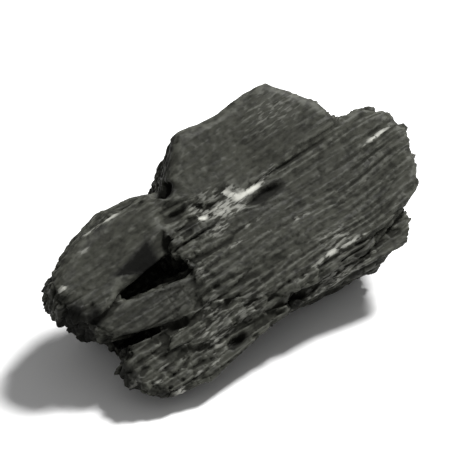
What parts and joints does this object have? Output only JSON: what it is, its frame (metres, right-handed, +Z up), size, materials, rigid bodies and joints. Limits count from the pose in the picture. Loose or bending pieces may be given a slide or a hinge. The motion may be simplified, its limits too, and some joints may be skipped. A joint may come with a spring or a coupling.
{
  "type": "charcoal lump",
  "caption": "Lump of split hardwood charcoal with straight grain, stepped growth layers, open splits along the grain and broken ends, lying on a surface.",
  "frame": {"origin": "on the surface that the lump lies on, under the middle of the lump's box", "axes": "+X along the wood's grain as seen from above, towards the tapered end; +Y from the low front to the high back; +Z up"},
  "size_m": [0.125, 0.0588, 0.0537],
  "materials": {
    "charcoal": "charred wood: matte near-black in the grooves, soft grey sheen on the ridges along the grain, small bright glints on fresh breaks"
  },
  "bodies": {
    "root": {"charcoal_lump": "charcoal"}
  },
  "joints": []
}
